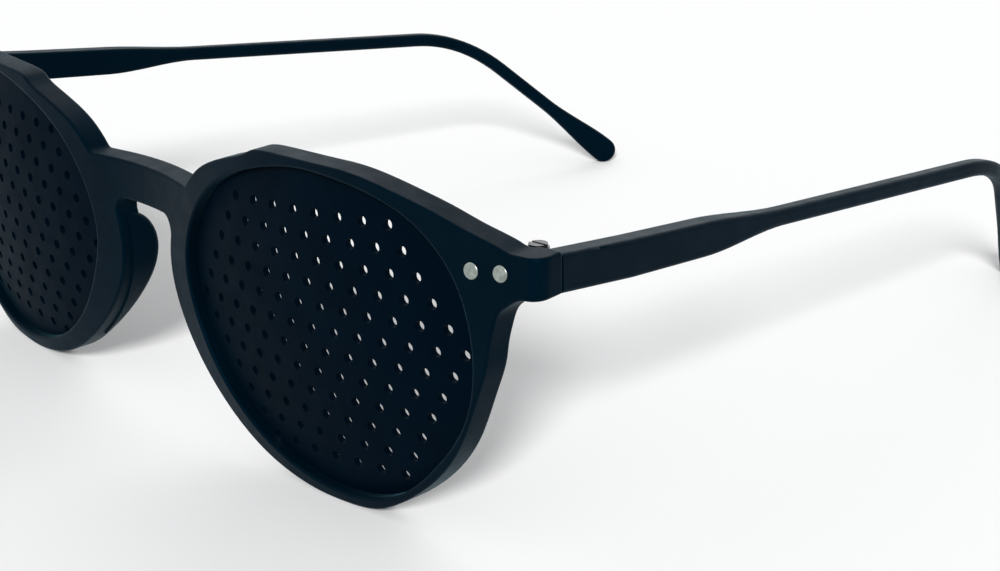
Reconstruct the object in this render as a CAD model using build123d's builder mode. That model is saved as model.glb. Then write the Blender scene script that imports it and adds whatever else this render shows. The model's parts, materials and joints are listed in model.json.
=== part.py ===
# Pinhole glasses: a round moulded front with a perforated plate in each rim,
# two thin temples with bent ear tips, and a pin hinge behind each end piece.
#
# Millimetres. X runs across the face (+X is the wearer's left), the front faces -Y,
# +Z is up. The glasses stand on a table on the two rim bottoms and the two ear tips,
# with the temples open. The origin is the middle of that footprint, on the table.
# Everything is drawn for the wearer's left and mirrored for the right.

import os
from math import acos, asin, atan2, cos, degrees, hypot, radians, sin, sqrt, tan

from build123d import *

# Front, seen from the front, measured from each lens centre
lens_spacing = 71.6
opening_width = 50.2
opening_height = 39.6
opening_outward = 0.37
opening_raise = 0.3
rim_width = 57.9
rim_height = 42.1
rim_outward = -0.72
rim_raise = 0.1
opening_shares = (
    (0.065, 1.0), (0.43, 0.945), (0.715, 0.8), (0.915, 0.545), (0.995, 0.235), (0.985, -0.065),
    (0.9, -0.335), (0.72, -0.62), (0.48, -0.875), (0.185, -0.99), (-0.1, -0.98), (-0.44, -0.845),
    (-0.735, -0.58), (-0.93, -0.225), (-1.0, 0.135), (-0.925, 0.425), (-0.725, 0.71), (-0.39, 0.91),
)
rim_shares = (
    (0.19, 1.0), (0.42, 0.969), (0.667, 0.888), (0.875, 0.708), (0.98, 0.447), (0.997, 0.195),
    (0.935, -0.025), (0.829, -0.354), (0.627, -0.693), (0.385, -0.923), (0.042, -1.0),
    (-0.14, -0.98), (-0.395, -0.884), (-0.68, -0.648), (-0.885, -0.37), (-1.0, -0.062),
    (-0.993, 0.237), (-0.883, 0.499), (-0.69, 0.761), (-0.36, 0.93),
)

# Front, in depth
base_radius = 105.0
wrap_angle = 4.55
front_lean = 2.05
plate_recess = 1.5
rim_depth = 3.3
edge_round = 0.35
opening_edge_round = 0.32

# Pinhole plates
plate_thickness = 0.8
plate_edge_in_groove = 0.45
groove_side_gap = 0.03
groove_end_gap = 0.08
hole_diameter = 1.3
hole_pitch = 3.8
row_pitch = 2.755
pattern_tilt = 3.55
pattern_outward = 0.4
pattern_raise = 1.05
holes_in_rows = (8, 9, 10, 11, 12, 13, 12, 11, 10, 9, 8, 7)

# Bridge
bridge_top = 12.9
bridge_bottom = 7.8
bridge_blend = 8.0
bridge_reach = 12.0
bridge_top_round = 1.2
bridge_bottom_round = 2.0

# Nose pads, moulded on the back of the rims
pad_top = 5.2
pad_foot = -14.5
pad_depth = 5.8
pad_bulge = 0.3
pad_wall_to_opening = 0.6
pad_edge_round = 0.8
pad_root = 1.7
pad_shares = ((0.0, 0.35), (0.05, 0.75), (0.17, 0.97), (0.35, 0.99), (0.6, 0.78), (0.82, 0.57), (1.0, 0.42))

# End pieces
corner_out = 34.05
corner_depth = 4.9
corner_round = 2.0
inner_corner_round = 0.6
side_wall_length = 3.85
endpiece_wall = 3.2
endpiece_foot = 10.95
joint_top = 15.35
brow_shares = ((0.47, 0.922), (0.59, 0.874), (0.717, 0.814), (0.849, 0.757), (0.9, 0.74))
underside_shares = ((0.887, 0.475), (0.855, 0.43), (0.834, 0.35), (0.814, 0.22))
underside_start_share = 0.95
brow_joins_rim_at = 1
underside_joins_rim_at = 6
rim_bottom_at = 10

# Rivets in the end pieces
rivet_middle_out = 27.35
rivet_middle_height = 13.3
rivet_spacing = 3.85
rivet_line_rise = 6.5
rivet_head_diameter = 1.9
rivet_head_seat = 0.35
rivet_head_proud = 0.15
rivet_head_round = 0.12
rivet_shank_diameter = 0.9
rivet_gap = 0.01

# Temples
convergence = 6.2
shaft_slope = 5.6
shaft_length = 93.7
temple_thickness = 3.0
temple_edge_round = 0.55
wide_height = 4.4
wide_middle = 12.0
wide_end = 24.5
wide_end_height = 4.15
wide_droop = 0.35
rod_start = 41.0
rod_height = 2.15
rod_thickness = 2.35
rod_edge_round = 0.7
neck_shares = (0, 0.2, 0.4, 0.6, 0.8, 1)
ear_bend_radius = 25.0
tip_drop = 41.2
tip_turn_in = 30.1
tip_width = 4.4
tip_flare_length = 17.0
flare_shares = (0, 0.25, 0.5, 0.75, 1)
joint_gap = 0.08

# Steel core inside the rod and the ear tip
core_diameter = 1.0
core_gap = 0.02
core_start = 46.0
core_end_cover = 12.0

# Hinges
barrel_diameter = 2.5
barrel_in_from_outside = 4.6
barrel_behind_joint = 1.3
barrel_height = 3.8
barrel_above_joint_middle = 1.75
middle_knuckle = 1.5
knuckle_gap = 0.05
neck_width = 1.6
screw_diameter = 1.2
screw_gap = 0.03
screw_head_diameter = 2.1
screw_head_height = 0.4
screw_slot_width = 0.35
screw_slot_depth = 0.2
leaf_thickness = 0.8
front_leaf_length = 6.3
front_leaf_shift = 0.5
front_leaf_height = 4.1
front_leaf_raise = 0.15
temple_leaf_start = 0.4
temple_leaf_length = 9.5
temple_leaf_height = 2.8
leaf_corner_round = 0.6
pocket_gap = 0.02

# How far a cutter runs past what it cuts, how near a corner is looked for,
# and the angle in degrees from which an edge is rounded
overrun = 1.0
find_tolerance = 0.02
sharp_angle = 20.0

# Places worked out from the sizes

lens_x = lens_spacing / 2
lean = radians(front_lean)
turn = radians(convergence)
slope = radians(shaft_slope)
face_radius = base_radius + plate_recess
back_radius = face_radius - rim_depth

# The base curve's centre, across the face and behind the front plane
base_x = lens_x - base_radius * sin(radians(wrap_angle))
base_depth = base_radius * cos(radians(wrap_angle))


def outline(shares, width, height, outward_shift, raised):
    """Points of a closed outline from shares of half its width and height."""
    return [
        (lens_x + outward_shift + x * width / 2, raised + y * height / 2)
        for x, y in shares
    ]


def grown(points, amount):
    """Points of the closed curve through these points, moved outward by amount."""
    curve = Edge.make_spline([Vector(point) for point in points], periodic=True)
    count = 2 * len(points)
    moved = []
    for number in range(count):
        way = curve % (number / count)
        moved.append(curve @ (number / count) + Vector(-way.Y, way.X) * amount)
    return moved


opening_points = outline(opening_shares, opening_width, opening_height, opening_outward, opening_raise)
rim_points = outline(rim_shares, rim_width, rim_height, rim_outward, rim_raise)


def face_depth(x, up):
    """Depth of the rim's spherical front face behind the front plane."""
    return base_depth - sqrt(face_radius**2 - (x - base_x) ** 2 - up**2)


# Past the base curve the end piece runs straight, tangent to it, to the corner.
corner_x = lens_x + corner_out
corner_ahead = base_depth - corner_depth
flat_turn = atan2(corner_x - base_x, corner_ahead) - acos(
    face_radius / hypot(corner_x - base_x, corner_ahead)
)
nose_turn = asin((base_x - bridge_blend) / face_radius)


def turned_depth(depth, up):
    """Depth of a plan profile point once it is turned up to this height."""
    return base_depth - sqrt((base_depth - depth) ** 2 - up**2)


# Heights and depths of the leaning front in the upright frame, from the lens centres
joint_height = joint_top - endpiece_foot
joint_middle_up = (joint_top + endpiece_foot) / 2
corner_back = turned_depth(corner_depth, joint_middle_up)
corner_back_level = corner_back * cos(lean) - joint_middle_up * sin(lean)

outward = Vector(cos(turn), sin(turn), 0)
backward = Vector(-sin(turn), cos(turn), 0)
upward = Vector(0, 0, 1)
shaft_way = Vector(-sin(turn) * cos(slope), cos(turn) * cos(slope), -sin(slope))
tip_turn = radians(tip_turn_in)
tip_fall = radians(tip_drop)
tip_way = Vector(-sin(tip_turn) * cos(tip_fall), cos(tip_turn) * cos(tip_fall), -sin(tip_fall))
tip_outward = Vector(cos(tip_turn), sin(tip_turn), 0)

# The lens centres stand so high that the lowest point of the rims touches the table.
low_x, low_up = min(rim_points, key=lambda point: point[1])
lens_z = -(low_up * cos(lean) + face_depth(low_x, low_up) * sin(lean))
joint_z = lens_z + joint_middle_up * cos(lean) + (corner_back + side_wall_length) * sin(lean)

# The tip is as long as it needs to be for its rounded end to touch the table too.
bend_z = joint_z - tan(slope) * shaft_length
tip_length = (bend_z - tip_width / 2) / sin(tip_fall) + tip_width / 2
tip_back_level = (
    corner_back_level
    + (side_wall_length + shaft_length) * cos(turn)
    - rod_thickness / 2 * sin(turn)
    + (tip_length - tip_width / 2) * cos(tip_fall) * cos(tip_turn)
    + (tip_width / 2 - rod_edge_round) * cos(tip_turn)
    + (rod_thickness / 2 - rod_edge_round) * sin(tip_turn)
    + rod_edge_round
)
front_level = min(
    face_depth(x, up) * cos(lean) - up * sin(lean) for x, up in opening_points
)
front_y = -(front_level + tip_back_level) / 2

# The front plane leans: its local x runs across, y up and z towards the viewer.
front = Plane((0, front_y, lens_z), x_dir=(1, 0, 0), z_dir=(0, -cos(lean), -sin(lean)))


def on_front(x, up, depth):
    """A point of the leaning front in space."""
    return front.from_local_coords(Vector(x, up, -depth))


side = Plane(front.origin, x_dir=-front.z_dir, z_dir=(1, 0, 0))
base_centre = on_front(base_x, 0, base_depth)
axis_point = on_front(0, 0, base_depth)
profile_plane = Plane(axis_point, x_dir=(1, 0, 0), z_dir=-front.y_dir)
lens_upright = Plane(on_front(lens_x, 0, 0), x_dir=(1, 0, 0), z_dir=front.z_dir)
lens = Plane(lens_upright.location * Rotation(0, wrap_angle, 0))
pattern_shift = Pos(pattern_outward, pattern_raise)
pattern_plane = Plane(lens.location * pattern_shift * Rotation(0, 0, pattern_tilt))

corner = on_front(corner_x, joint_middle_up, corner_back)
joint_outside = Vector(corner.X, corner.Y, joint_z) + backward * side_wall_length
joint = Plane(joint_outside, x_dir=outward, z_dir=backward)


def shaft_point(along, inward):
    """A point this far along the temple and in from its outer face."""
    return joint_outside + backward * along - outward * inward - upward * (tan(slope) * along)


hinge_top = joint_z + barrel_above_joint_middle
hinge_axis = shaft_point(0, barrel_in_from_outside) + backward * barrel_behind_joint
hinge_base = Vector(hinge_axis.X, hinge_axis.Y, hinge_top - barrel_height)
barrel = Plane(hinge_base, x_dir=outward, z_dir=(0, 0, 1))
knuckle_low = (barrel_height - middle_knuckle) / 2
knuckle_high = knuckle_low + middle_knuckle

# The flat wall of the end piece, where the rivets sit and the front leaf lies behind
wall_depth = corner_depth - (corner_out - rivet_middle_out) * tan(flat_turn)
wall_lift = asin(rivet_middle_height / (base_depth - wall_depth))
wall_back = turned_depth(wall_depth, rivet_middle_height)
wall_ahead = front.z_dir * cos(wall_lift) + front.y_dir * sin(wall_lift)
wall = Plane(
    on_front(lens_x + rivet_middle_out, rivet_middle_height, wall_back),
    x_dir=Vector(1, 0, 0) * cos(flat_turn) - wall_ahead * sin(flat_turn),
    z_dir=Vector(1, 0, 0) * sin(flat_turn) + wall_ahead * cos(flat_turn),
)
rivet_line = Plane(wall.location * Rotation(0, 0, rivet_line_rise))
leaf_plane = Plane(
    wall.from_local_coords(Vector(front_leaf_shift, front_leaf_raise, -rim_depth)),
    x_dir=wall.x_dir,
    z_dir=wall.z_dir,
)

os.makedirs("parts", exist_ok=True)


def write_pair(piece, name):
    """Write the piece for the wearer's left and its mirror image for the right."""
    piece.part.label = f"{name}_left"
    export_step(piece.part, f"parts/{piece.part.label}.step")
    with BuildPart() as other:
        mirror(piece.part, about=Plane.YZ)
    other.part.label = f"{name}_right"
    export_step(other.part, f"parts/{other.part.label}.step")


def spherical_plate(edge_outward, outer_radius, thickness):
    """A plate of the opening's outline, grown by edge_outward, between two spheres."""
    with BuildPart() as plate:
        with BuildSketch(front.offset(rim_depth)):
            with BuildLine():
                Spline(*grown(opening_points, edge_outward), periodic=True)
            make_face()
        extrude(amount=-4 * rim_depth)
        with Locations(base_centre):
            Sphere(outer_radius, mode=Mode.INTERSECT)
            Sphere(outer_radius - thickness, mode=Mode.SUBTRACT)
    return plate


# Pinhole plates

with BuildPart() as pinhole_plate:
    add(spherical_plate(plate_edge_in_groove, base_radius, plate_thickness).part)
    with BuildSketch(pattern_plane):
        for row, count in enumerate(holes_in_rows):
            row_up = (holes_in_rows.index(max(holes_in_rows)) - row) * row_pitch
            for hole in range(count):
                with Locations(((hole - (count - 1) / 2) * hole_pitch, row_up)):
                    Circle(hole_diameter / 2)
    extrude(amount=rim_depth + rim_width, both=True, mode=Mode.SUBTRACT)
write_pair(pinhole_plate, "pinhole_plate")

# Nose pads

with BuildPart() as nose_pad:
    with BuildSketch(front):
        with BuildLine():
            Spline(*grown(rim_points, pad_bulge), periodic=True)
        make_face()
        with BuildLine():
            Spline(*grown(opening_points, pad_wall_to_opening), periodic=True)
        make_face(mode=Mode.SUBTRACT)
        with Locations((lens_x, 0)):
            Rectangle(rim_width, rim_height * 2, align=(Align.MAX, Align.CENTER), mode=Mode.INTERSECT)
    extrude(amount=-pad_depth * 2)
    with BuildSketch(side):
        with BuildLine():
            crest = [
                (pad_depth * depth, pad_top + (pad_foot - pad_top) * down)
                for down, depth in pad_shares
            ]
            Spline(*crest)
            Polyline(crest[-1], (pad_root, pad_foot), (pad_root, pad_top), crest[0])
        make_face()
    extrude(amount=lens_x, mode=Mode.INTERSECT)
    crest_face = nose_pad.faces().sort_by(Axis(front.origin, -front.z_dir))[-1]
    fillet(crest_face.edges().sort_by(SortBy.LENGTH)[-2:], radius=pad_edge_round)

# Front frame


def around(angle, radius):
    """A plan profile point at this angle outward from straight ahead of the base centre."""
    return Vector(base_x + radius * sin(angle), radius * cos(angle))


bridge_face_ahead = around(-nose_turn, face_radius).Y - bridge_blend * tan(nose_turn / 2)
nose_way = Vector(-cos(nose_turn), -sin(nose_turn))
wall_backward = Vector(-sin(turn), -cos(turn))
wall_inward = Vector(-cos(turn), sin(turn))
wall_corner = Vector(corner_x, corner_ahead)
wall_end = wall_corner + wall_backward * (side_wall_length + 2 * overrun)
wall_end_inside = wall_end + wall_inward * endpiece_wall
flat_back = around(flat_turn, back_radius)
flat_normal = Vector(sin(flat_turn), cos(flat_turn))
inner_corner = wall_end_inside - wall_backward * (
    (flat_back - wall_end_inside).dot(flat_normal) / (-wall_backward).dot(flat_normal)
)
profile_sweep = degrees(asin(rim_height / 2 / back_radius)) * 2


def endpiece_points(shares):
    """Outline points of the end piece from shares of its reach and of the rim's top."""
    rim_top = rim_raise + rim_height / 2
    return [(lens_x + out * corner_out, up * rim_top) for out, up in shares]


brow_points = endpiece_points(brow_shares)
underside_points = endpiece_points(underside_shares)
foot_point = (lens_x + underside_start_share * corner_out, endpiece_foot)
endpiece_top = brow_points[-1][1]
past_corner = corner_x + overrun
root_point = rim_points[underside_joins_rim_at]
root_way = Vector(rim_points[underside_joins_rim_at + 1]) - Vector(rim_points[underside_joins_rim_at - 1])


def sharp_edges(body):
    """Edges where two faces meet at an angle, leaving out those on the middle plane."""
    found = []
    for edge in body.edges():
        normals = [face.normal_at(edge @ 0.5) for face in body.faces() if edge in face.edges()]
        if (edge @ 0.5).X > overrun and normals[0].get_angle(normals[-1]) > sharp_angle:
            found.append(edge)
    return found


with BuildPart() as half_front:
    with BuildSketch(profile_plane.rotated((profile_sweep, 0, 0))) as plan_profile:
        with BuildLine():
            TangentArc(around(-nose_turn, face_radius), (0, bridge_face_ahead), tangent=nose_way)
            CenterArc(
                (base_x, 0), face_radius, 90 - degrees(flat_turn), degrees(flat_turn + nose_turn)
            )
            Polyline(
                around(flat_turn, face_radius), wall_corner, wall_end, wall_end_inside,
                inner_corner, flat_back,
            )
            CenterArc(
                (base_x, 0), back_radius, 90 - degrees(flat_turn), degrees(flat_turn + nose_turn)
            )
            TangentArc(
                around(-nose_turn, back_radius), (0, bridge_face_ahead - rim_depth), tangent=nose_way
            )
            Line((0, bridge_face_ahead - rim_depth), (0, bridge_face_ahead))
        make_face()
        fillet(plan_profile.vertices().sort_by_distance(wall_corner)[0], radius=corner_round)
        fillet(plan_profile.vertices().sort_by_distance(inner_corner)[0], radius=inner_corner_round)
    revolve(axis=Axis(axis_point, (-1, 0, 0)), revolution_arc=2 * profile_sweep)
    with BuildSketch(front) as half_outline:
        with BuildLine():
            Spline(
                *rim_points[underside_joins_rim_at : rim_bottom_at + 1], tangents=[root_way, (-1, 0)]
            )
            Spline(*rim_points[rim_bottom_at:], rim_points[0], tangents=[(-1, 0), (1, 0)])
            Spline(
                *rim_points[: brow_joins_rim_at + 1], *brow_points, tangents=[(1, 0), (1, 0)]
            )
            Polyline(
                brow_points[-1], (past_corner, endpiece_top), (past_corner, endpiece_foot), foot_point
            )
            Spline(foot_point, *underside_points, root_point, tangents=[(-1, 0), root_way])
        make_face()
        with Locations((0, (bridge_top + bridge_bottom) / 2)):
            Rectangle(
                bridge_reach, bridge_top - bridge_bottom, align=(Align.MIN, Align.CENTER)
            )
        top_corner = half_outline.vertices().filter_by_position(
            Axis.Y, bridge_top - find_tolerance, bridge_top + find_tolerance
        ).sort_by(Axis.X)[1]
        fillet(top_corner, radius=bridge_top_round)
        bottom_corner = half_outline.vertices().filter_by_position(
            Axis.Y, bridge_bottom - find_tolerance, bridge_bottom + find_tolerance
        ).sort_by(Axis.X)[1]
        fillet(bottom_corner, radius=bridge_bottom_round)
    extrude(amount=2 * (corner_depth + side_wall_length), both=True, mode=Mode.INTERSECT)
    # The side wall's end is cut square to the temple.
    with BuildSketch(joint):
        with Locations((-endpiece_wall / 2, 0)):
            Rectangle(endpiece_wall + 2 * overrun, 2 * joint_height)
    extrude(amount=side_wall_length, mode=Mode.SUBTRACT)
    fillet(sharp_edges(half_front), radius=edge_round)
    # The hinge leaf's pocket, and the rivets' seats and holes
    with BuildSketch(leaf_plane.offset(-overrun)):
        RectangleRounded(
            front_leaf_length + 2 * pocket_gap,
            front_leaf_height + 2 * pocket_gap,
            leaf_corner_round + pocket_gap,
        )
    extrude(amount=overrun + leaf_thickness + pocket_gap, mode=Mode.SUBTRACT)
    with BuildSketch(rivet_line.offset(overrun)):
        with GridLocations(rivet_spacing, 0, 2, 1):
            Circle(rivet_shank_diameter / 2 + rivet_gap)
    extrude(amount=-rim_depth - 2 * overrun, mode=Mode.SUBTRACT)
    with BuildSketch(rivet_line.offset(-rivet_head_seat)):
        with GridLocations(rivet_spacing, 0, 2, 1):
            Circle(rivet_head_diameter / 2 + rivet_gap)
    extrude(amount=rivet_head_seat + overrun, mode=Mode.SUBTRACT)
    add(nose_pad.part)
    # The opening with its rounded lip, and the groove the plate sits in
    with BuildSketch(front.offset(pad_depth)):
        with BuildLine():
            Spline(*opening_points, periodic=True)
        make_face()
    extrude(amount=-3 * pad_depth, mode=Mode.SUBTRACT)
    lip = half_front.edges(Select.LAST).filter_by(
        lambda edge: (edge @ 0.5 - base_centre).length > base_radius
    )
    fillet(lip, radius=opening_edge_round)
    groove = spherical_plate(
        plate_edge_in_groove + groove_end_gap,
        base_radius + groove_side_gap,
        plate_thickness + 2 * groove_side_gap,
    )
    add(groove.part, mode=Mode.SUBTRACT)

with BuildPart() as front_frame:
    add(half_front.part)
    mirror(about=Plane.YZ)
front_frame.part.label = "front_frame"
export_step(front_frame.part, "parts/front_frame.step")

# Temples


def eased(start, end, share):
    """A size on its way from start to end, level at both ends."""
    return start + (end - start) * (1 - cos(share * radians(180))) / 2


neck_stations = [
    (
        wide_end + (rod_start - wide_end) * share,
        eased(wide_end_height, rod_height, share),
        eased(temple_thickness, rod_thickness, share),
        eased(wide_droop, 0, share),
        eased(temple_edge_round, rod_edge_round, share),
    )
    for share in neck_shares
]
wide_stations = [
    (-2 * overrun, joint_height, temple_thickness, 0, temple_edge_round),
    (wide_middle, wide_height, temple_thickness, wide_droop, temple_edge_round),
    neck_stations[0],
]

rod_begin = shaft_point(rod_start, rod_thickness / 2)
bend_corner = shaft_point(shaft_length, rod_thickness / 2)
flare_begin = bend_corner + tip_way * (tip_length - tip_flare_length)
tip_end_middle = bend_corner + tip_way * (tip_length - tip_width / 2)
bend_axis = Axis((0, 0, 0), shaft_way.cross(tip_way))
rod_outward_at_tip = outward.rotate(bend_axis, shaft_way.get_angle(tip_way))

inner_side = Plane(
    shaft_point(temple_leaf_start + temple_leaf_length / 2, temple_thickness),
    x_dir=-shaft_way,
    z_dir=-outward,
)

core_begin = shaft_point(core_start, rod_thickness / 2)
core_end = bend_corner + tip_way * (tip_length - core_end_cover)


def core_wire(radius):
    """A round wire of this radius along the core's path."""
    with BuildPart() as wire:
        with BuildLine() as core_path:
            FilletPolyline(core_begin, bend_corner, core_end, radius=ear_bend_radius)
        with BuildSketch(Plane(core_begin, x_dir=outward, z_dir=shaft_way)):
            Circle(radius)
        sweep(path=core_path.wire())
    return wire


with BuildPart() as temple:
    for stations, straight in ((wide_stations, True), (neck_stations, False)):
        for along, height, thickness, droop, rounding in stations:
            middle = shaft_point(along, thickness / 2) - upward * droop
            with BuildSketch(Plane(middle, x_dir=outward, z_dir=shaft_way)):
                RectangleRounded(thickness, height, rounding)
        loft(ruled=straight)
    with BuildSketch(joint.offset(joint_gap)):
        Rectangle(4 * temple_thickness, 2 * wide_height)
    extrude(amount=-4 * overrun, mode=Mode.SUBTRACT)
    with BuildLine() as rod_path:
        FilletPolyline(rod_begin, bend_corner, flare_begin, radius=ear_bend_radius)
    with BuildSketch(Plane(rod_begin, x_dir=outward, z_dir=shaft_way)):
        RectangleRounded(rod_thickness, rod_height, rod_edge_round)
    sweep(path=rod_path.wire())
    for share in flare_shares:
        middle = flare_begin + (tip_end_middle - flare_begin) * share
        width = eased(rod_height, tip_width, share)
        across = rod_outward_at_tip * (1 - share) + tip_outward * share
        with BuildSketch(Plane(middle, x_dir=across, z_dir=tip_way)):
            RectangleRounded(rod_thickness, width, rod_edge_round)
    loft()
    with BuildSketch(Plane(tip_end_middle, x_dir=tip_outward, z_dir=tip_way)):
        RectangleRounded(rod_thickness, tip_width, rod_edge_round)
        Rectangle(
            rod_thickness, tip_width, align=(Align.CENTER, Align.MIN), mode=Mode.INTERSECT
        )
    revolve(axis=Axis(tip_end_middle, tip_outward), revolution_arc=180)
    add(core_wire(core_diameter / 2 + core_gap).part, mode=Mode.SUBTRACT)
    with BuildSketch(inner_side.offset(overrun)):
        RectangleRounded(
            temple_leaf_length + 2 * pocket_gap,
            temple_leaf_height + 2 * pocket_gap,
            leaf_corner_round + pocket_gap,
        )
    extrude(amount=-overrun - leaf_thickness - pocket_gap, mode=Mode.SUBTRACT)
write_pair(temple, "temple")

temple_core = core_wire(core_diameter / 2)
write_pair(temple_core, "temple_core")

# Hinges

axis_inward = barrel_in_from_outside - temple_thickness
with BuildPart() as temple_hinge:
    with BuildSketch(inner_side):
        RectangleRounded(temple_leaf_length, temple_leaf_height, leaf_corner_round)
    extrude(amount=-leaf_thickness)
    with BuildSketch(barrel.offset(knuckle_low)):
        Circle(barrel_diameter / 2)
        Rectangle(axis_inward + leaf_thickness / 2, neck_width, align=(Align.MIN, Align.CENTER))
    extrude(amount=middle_knuckle)
    with BuildSketch(barrel):
        Circle(screw_diameter / 2 + screw_gap)
    extrude(amount=barrel_height, mode=Mode.SUBTRACT)
write_pair(temple_hinge, "temple_hinge")

leaf_middle = leaf_plane.origin + leaf_plane.z_dir * (leaf_thickness / 2)
neck_reach = (hinge_base - leaf_middle).dot(leaf_plane.z_dir) / backward.dot(leaf_plane.z_dir)

with BuildPart() as front_hinge:
    with BuildSketch(leaf_plane):
        RectangleRounded(front_leaf_length, front_leaf_height, leaf_corner_round)
    extrude(amount=leaf_thickness)
    for bottom, top in ((0, knuckle_low - knuckle_gap), (knuckle_high + knuckle_gap, barrel_height)):
        with BuildSketch(barrel.offset(bottom)):
            Circle(barrel_diameter / 2)
            Rectangle(neck_width, neck_reach, align=(Align.CENTER, Align.MAX))
        extrude(amount=top - bottom)
    with BuildSketch(barrel):
        Circle(screw_diameter / 2 + screw_gap)
    extrude(amount=barrel_height, mode=Mode.SUBTRACT)
    with BuildSketch(rivet_line):
        with GridLocations(rivet_spacing, 0, 2, 1):
            Circle(rivet_shank_diameter / 2 + rivet_gap)
    extrude(amount=-2 * rim_depth, mode=Mode.SUBTRACT)
write_pair(front_hinge, "front_hinge")

with BuildPart() as hinge_screw:
    with BuildSketch(barrel):
        Circle(screw_diameter / 2)
    extrude(amount=barrel_height)
    with BuildSketch(barrel.offset(barrel_height)):
        Circle(screw_head_diameter / 2)
    extrude(amount=screw_head_height)
    with BuildSketch(barrel.offset(barrel_height + screw_head_height)):
        Rectangle(screw_head_diameter + overrun, screw_slot_width)
    extrude(amount=-screw_slot_depth, mode=Mode.SUBTRACT)
write_pair(hinge_screw, "hinge_screw")

# Rivets

for shift, name in ((-rivet_spacing / 2, "inner_rivet"), (rivet_spacing / 2, "outer_rivet")):
    with BuildPart() as rivet:
        with BuildSketch(rivet_line.offset(-rivet_head_seat)):
            with Locations((shift, 0)):
                Circle(rivet_head_diameter / 2)
        extrude(amount=rivet_head_seat + rivet_head_proud)
        fillet(rivet.edges().sort_by(Axis(wall.origin, wall.z_dir))[-1], radius=rivet_head_round)
        with BuildSketch(rivet_line.offset(-rivet_head_seat)):
            with Locations((shift, 0)):
                Circle(rivet_shank_diameter / 2)
        extrude(amount=rivet_head_seat - rim_depth)
    write_pair(rivet, name)
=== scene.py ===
# Pinhole glasses on a white floor: materials, soft light and the photograph's camera
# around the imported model. Metres, +X the wearer's left, the front faces -Y, +Z up.
import json
from math import radians

import bpy
from mathutils import Matrix, Vector

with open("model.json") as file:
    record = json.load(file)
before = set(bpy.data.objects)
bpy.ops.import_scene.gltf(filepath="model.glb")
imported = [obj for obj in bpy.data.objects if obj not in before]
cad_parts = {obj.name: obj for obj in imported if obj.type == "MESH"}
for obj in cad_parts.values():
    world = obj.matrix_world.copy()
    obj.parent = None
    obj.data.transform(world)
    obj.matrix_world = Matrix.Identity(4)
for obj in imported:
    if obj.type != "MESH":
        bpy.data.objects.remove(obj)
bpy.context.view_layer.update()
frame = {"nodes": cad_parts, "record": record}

scene = bpy.context.scene
nodes = frame["nodes"]
millimetre = 0.001

# Camera: its place, where it looks and its focal length on a 36 mm wide sensor
camera_place = Vector((0.214786, -0.187590, 0.103202))
camera_heading = 49.331
camera_dip = 19.499
camera_roll = -1.583
focal_length = 72.02
sensor_width = 36.0
nearest_seen = 0.005
farthest_seen = 50.0

# Floor and light
floor_reach = 6.0
floor_colour = (0.96, 0.96, 0.96, 1.0)
floor_rough = 0.9
sky_colour = (0.98, 0.99, 1.0, 1.0)
backdrop_colour = (1.0, 1.0, 1.0, 1.0)
sky_light = 0.44
key_heading = 43.0
key_height = 29.0
key_strength = 3.1
key_spread = 12.0
back_heading = 215.0
back_height = 30.0
back_strength = 0.75
back_spread = 50.0

# Plastic: its two shades, how rough it is, how much it shines and how fine its grain is
frame_dark = (0.0001, 0.0030, 0.0066, 1.0)
frame_light = (0.0002, 0.0042, 0.0090, 1.0)
plate_dark = (0.0001, 0.0022, 0.0056, 1.0)
plate_light = (0.0002, 0.0032, 0.0076, 1.0)
plastic_glint = (0.04, 0.45, 0.75, 1.0)
plastic_sheen = (0.22, 0.62, 0.80, 1.0)
frame_rough, frame_gloss, frame_sheen, frame_grain = 0.5, 0.05, 0.10, 9000.0
plate_rough, plate_gloss, plate_sheen, plate_grain = 0.55, 0.02, 0.04, 7000.0
sheen_rough = 0.3
cloud_scale, cloud_detail = 140.0, 3.0
wear_scale, wear_detail, wear_range = 420.0, 4.0, 0.05
grain_detail, grain_mix = 3.0, 0.6
grain_depth, grain_strength = 0.02 * millimetre, 0.35

# Metal: two shades of each kind, how rough it is and how its brushing is stretched
core_dark, core_light = (0.46, 0.46, 0.45, 1.0), (0.58, 0.58, 0.57, 1.0)
hinge_dark, hinge_light = (0.03, 0.034, 0.038, 1.0), (0.06, 0.065, 0.07, 1.0)
screw_dark, screw_light = (0.04, 0.045, 0.05, 1.0), (0.08, 0.085, 0.09, 1.0)
rivet_dark, rivet_light = (0.22, 0.25, 0.23, 1.0), (0.38, 0.42, 0.39, 1.0)
core_rough, hinge_rough, screw_rough, rivet_rough = 0.35, 0.4, 0.4, 0.3
core_stretch, hinge_stretch = (1, 0.1, 1), (1, 1, 0.15)
screw_stretch, rivet_stretch = (1, 1, 0.3), (0.25, 1, 1)
streak_scale, streak_detail, streak_mix = 9000.0, 3.0, 0.6
stain_scale, stain_detail = 1500.0, 3.0
streak_range, streak_depth, streak_strength = 0.08, 0.004 * millimetre, 0.4


# Materials


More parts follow.
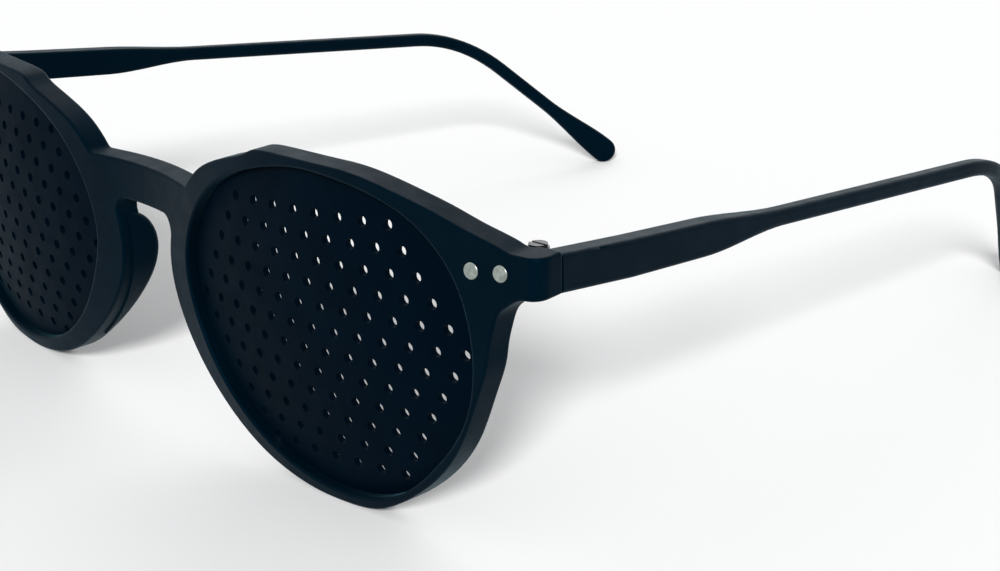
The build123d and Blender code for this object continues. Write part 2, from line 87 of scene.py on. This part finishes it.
class Look:
    """A material being wired up, with short ways to add a node and join two sockets."""

    def __init__(self, name):
        self.material = bpy.data.materials.new(name)
        self.material.use_nodes = True
        self.tree = self.material.node_tree
        self.shader = self.tree.nodes["Principled BSDF"]
        self.place = self.add("ShaderNodeTexCoord").outputs["Object"]

    def add(self, kind, **settings):
        node = self.tree.nodes.new(kind)
        for key, value in settings.items():
            setattr(node, key, value)
        return node

    def join(self, start, end):
        self.tree.links.new(start, end)

    def noise(self, scale, detail, mix=0.5, place=None):
        """Noise with this many spots to a metre."""
        node = self.add("ShaderNodeTexNoise")
        node.inputs["Scale"].default_value = scale
        node.inputs["Detail"].default_value = detail
        node.inputs["Roughness"].default_value = mix
        self.join(place or self.place, node.inputs["Vector"])
        return node.outputs["Fac"]

    def spread(self, value, low, high, start=0.3, end=0.7):
        """The value from start to end, laid out from low to high."""
        node = self.add("ShaderNodeMapRange")
        node.inputs["From Min"].default_value = start
        node.inputs["From Max"].default_value = end
        node.inputs["To Min"].default_value = low
        node.inputs["To Max"].default_value = high
        self.join(value, node.inputs["Value"])
        return node.outputs["Result"]

    def blend(self, share, first, second):
        """Two colours mixed by a share."""
        node = self.add("ShaderNodeMix", data_type="RGBA")
        self.join(share, node.inputs["Factor"])
        for socket, colour in ((node.inputs[6], first), (node.inputs[7], second)):
            if isinstance(colour, tuple):
                socket.default_value = colour
            else:
                self.join(colour, socket)
        return node.outputs[2]

    def bump(self, height, depth, strength):
        """Relief of this depth in metres."""
        node = self.add("ShaderNodeBump")
        node.inputs["Strength"].default_value = strength
        node.inputs["Distance"].default_value = depth
        self.join(height, node.inputs["Height"])
        return node.outputs["Normal"]


def moulded_plastic(name, dark, light, rough, gloss, sheen, grain):
    """Matte moulded plastic with a fine spark-eroded grain and a faint cloudiness."""
    look = Look(name)
    cloud = look.spread(look.noise(cloud_scale, cloud_detail), 0.0, 1.0)
    fine = look.noise(grain, grain_detail, grain_mix)
    wear = look.noise(wear_scale, wear_detail)
    inputs = look.shader.inputs
    look.join(look.blend(cloud, dark, light), inputs["Base Color"])
    look.join(look.spread(wear, rough - wear_range, rough + wear_range), inputs["Roughness"])
    look.join(look.bump(fine, grain_depth, grain_strength), inputs["Normal"])
    inputs["Specular IOR Level"].default_value = gloss
    inputs["Specular Tint"].default_value = plastic_glint
    inputs["Sheen Weight"].default_value = sheen
    inputs["Sheen Roughness"].default_value = sheen_rough
    inputs["Sheen Tint"].default_value = plastic_sheen
    return look.material


def brushed_metal(name, dark, light, rough, stretch):
    """Metal with fine brushing along the way that stretch is smallest."""
    look = Look(name)
    mapping = look.add("ShaderNodeMapping")
    mapping.inputs["Scale"].default_value = stretch
    look.join(look.place, mapping.inputs["Vector"])
    streak = look.noise(streak_scale, streak_detail, streak_mix, mapping.outputs["Vector"])
    stain = look.spread(look.noise(stain_scale, stain_detail), 0.0, 1.0)
    inputs = look.shader.inputs
    look.join(look.blend(stain, dark, light), inputs["Base Color"])
    look.join(look.spread(streak, rough - streak_range, rough + streak_range), inputs["Roughness"])
    look.join(look.bump(streak, streak_depth, streak_strength), inputs["Normal"])
    inputs["Metallic"].default_value = 1.0
    return look.material


frame_finish = (frame_dark, frame_light, frame_rough, frame_gloss, frame_sheen, frame_grain)
plate_finish = (plate_dark, plate_light, plate_rough, plate_gloss, plate_sheen, plate_grain)
looks = {
    "frame": moulded_plastic("frame_plastic", *frame_finish),
    "plate": moulded_plastic("plate_plastic", *plate_finish),
    "temple": moulded_plastic("temple_plastic", *frame_finish),
    "core": brushed_metal("core_steel", core_dark, core_light, core_rough, core_stretch),
    "hinge": brushed_metal("hinge_steel", hinge_dark, hinge_light, hinge_rough, hinge_stretch),
    "screw": brushed_metal("screw_steel", screw_dark, screw_light, screw_rough, screw_stretch),
    "rivet": brushed_metal("rivet_steel", rivet_dark, rivet_light, rivet_rough, rivet_stretch),
}
for subpart in frame["record"]["subparts"]:
    mesh = nodes[subpart["node"]].data
    mesh.materials.clear()
    mesh.materials.append(looks[subpart["material_slot"]])

# Floor

floor_mesh = bpy.data.meshes.new("floor")
corners = [(x * floor_reach, y * floor_reach, 0) for x, y in ((-1, -1), (1, -1), (1, 1), (-1, 1))]
floor_mesh.from_pydata(corners, [], [(0, 1, 2, 3)])
floor = bpy.data.objects.new("floor", floor_mesh)
scene.collection.objects.link(floor)
floor_look = Look("floor_paint")
floor_look.shader.inputs["Base Color"].default_value = floor_colour
floor_look.shader.inputs["Roughness"].default_value = floor_rough
floor_look.shader.inputs["Specular IOR Level"].default_value = 0.0
floor_mesh.materials.append(floor_look.material)

# Light

world = bpy.data.worlds.new("studio")
world.use_nodes = True
scene.world = world
tree = world.node_tree
sky = tree.nodes["Background"]
sky.inputs["Color"].default_value = sky_colour
sky.inputs["Strength"].default_value = sky_light
backdrop = tree.nodes.new("ShaderNodeBackground")
backdrop.inputs["Color"].default_value = backdrop_colour
backdrop.inputs["Strength"].default_value = 1.0
path = tree.nodes.new("ShaderNodeLightPath")
choice = tree.nodes.new("ShaderNodeMixShader")
# What the camera sees directly, mirrored or through something is the white backdrop.
seen = tree.nodes.new("ShaderNodeMath")
seen.operation = "MAXIMUM"
mirrored = tree.nodes.new("ShaderNodeMath")
mirrored.operation = "MAXIMUM"
tree.links.new(path.outputs["Is Glossy Ray"], mirrored.inputs[0])
tree.links.new(path.outputs["Is Transmission Ray"], mirrored.inputs[1])
tree.links.new(path.outputs["Is Camera Ray"], seen.inputs[0])
tree.links.new(mirrored.outputs["Value"], seen.inputs[1])
tree.links.new(seen.outputs["Value"], choice.inputs["Fac"])
tree.links.new(sky.outputs["Background"], choice.inputs[1])
tree.links.new(backdrop.outputs["Background"], choice.inputs[2])
tree.links.new(choice.outputs["Shader"], tree.nodes["World Output"].inputs["Surface"])


def add_sun(name, heading, height, strength, spread):
    """A soft sun that shines along this heading from this height, in degrees."""
    sun = bpy.data.lights.new(name, "SUN")
    sun.energy = strength
    sun.angle = radians(spread)
    lamp = bpy.data.objects.new(name, sun)
    lamp.rotation_euler = (radians(90 - height), 0, radians(heading))
    scene.collection.objects.link(lamp)


add_sun("key", key_heading, key_height, key_strength, key_spread)
add_sun("back", back_heading, back_height, back_strength, back_spread)

# Camera

lens = bpy.data.cameras.new("camera")
lens.lens = focal_length
lens.sensor_width = sensor_width
lens.clip_start = nearest_seen
lens.clip_end = farthest_seen
camera = bpy.data.objects.new("camera", lens)
camera.matrix_world = (
    Matrix.Translation(camera_place)
    @ Matrix.Rotation(radians(camera_heading), 4, "Z")
    @ Matrix.Rotation(radians(90 - camera_dip), 4, "X")
    @ Matrix.Rotation(radians(camera_roll), 4, "Z")
)
scene.collection.objects.link(camera)
scene.camera = camera
scene.view_settings.view_transform = "Standard"
